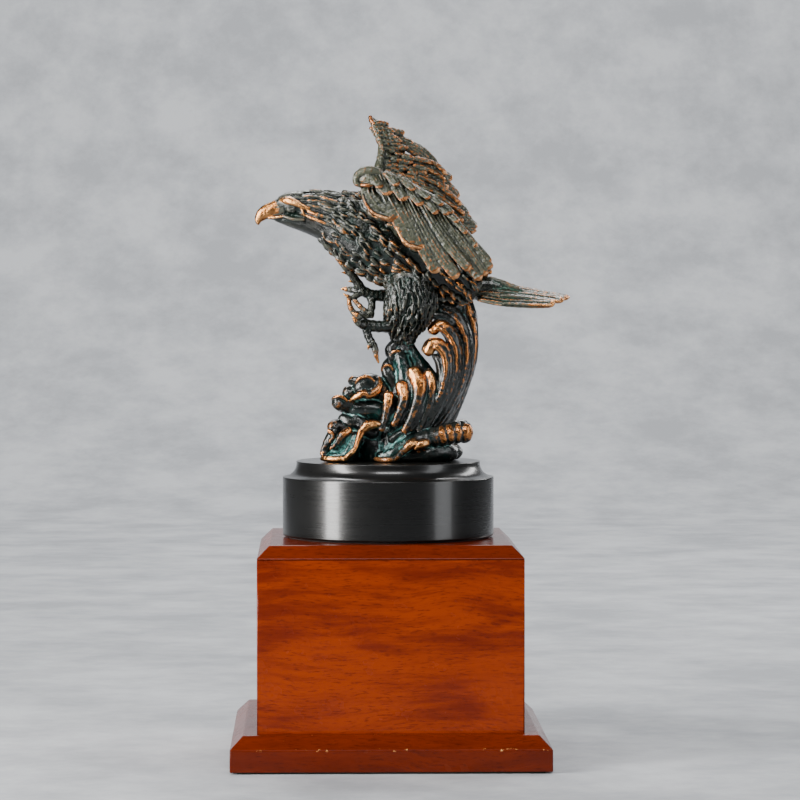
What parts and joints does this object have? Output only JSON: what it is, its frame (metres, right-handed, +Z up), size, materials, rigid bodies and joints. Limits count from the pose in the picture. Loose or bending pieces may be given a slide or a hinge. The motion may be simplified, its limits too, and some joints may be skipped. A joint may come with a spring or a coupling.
{
  "type": "eagle statuette on wooden pedestal",
  "caption": "Bronze-finish eagle with a raised wing, perched on curling waves, on a round black turned base and a square bevelled wooden pedestal.",
  "frame": {"origin": "centre of the underside of the pedestal, on the surface it stands on", "axes": "+Z up, +X from the beak towards the tail, -Y towards the left side of the bird"},
  "size_m": [0.1959, 0.18, 0.3721],
  "materials": {
    "figure_bronze": "dark green-black patina rubbed back to copper on the ridges, glossy",
    "wing_bronze": "olive brown patina with copper feather tips, satin",
    "wave_bronze": "near-black patina with teal in the hollows and copper on the crests, glossy",
    "steel": "bright zinc",
    "insert_brass": "machined",
    "black_lacquer": "turned, black satin lacquer",
    "felt": "pressed green felt",
    "panel_wood": "orange-brown stained veneer under gloss lacquer",
    "moulding_wood": "darker red-brown stain under gloss lacquer",
    "block_wood": "bare sawn softwood"
  },
  "bodies": {
    "root": {"eagle_body": "figure_bronze", "tail": "figure_bronze", "left_foot": "figure_bronze", "right_foot": "figure_bronze", "left_wing": "wing_bronze", "right_wing": "wing_bronze", "wave": "wave_bronze", "left_wing_pin": "steel", "right_wing_pin": "steel", "tail_pin": "steel", "left_foot_pin": "steel", "right_foot_pin": "steel", "thigh_pin": "steel", "rump_pin": "steel", "draw_rod": "steel", "rod_washer": "steel", "rod_nut": "steel", "plinth_screws": "steel", "threaded_insert": "insert_brass", "round_base": "black_lacquer", "base_felt": "felt", "felt_sheet": "felt", "front_panel": "panel_wood", "back_panel": "panel_wood", "left_panel": "panel_wood", "right_panel": "panel_wood", "top_board": "moulding_wood", "plinth": "moulding_wood", "corner_block_1": "block_wood", "corner_block_2": "block_wood", "corner_block_3": "block_wood", "corner_block_4": "block_wood"}
  },
  "joints": []
}
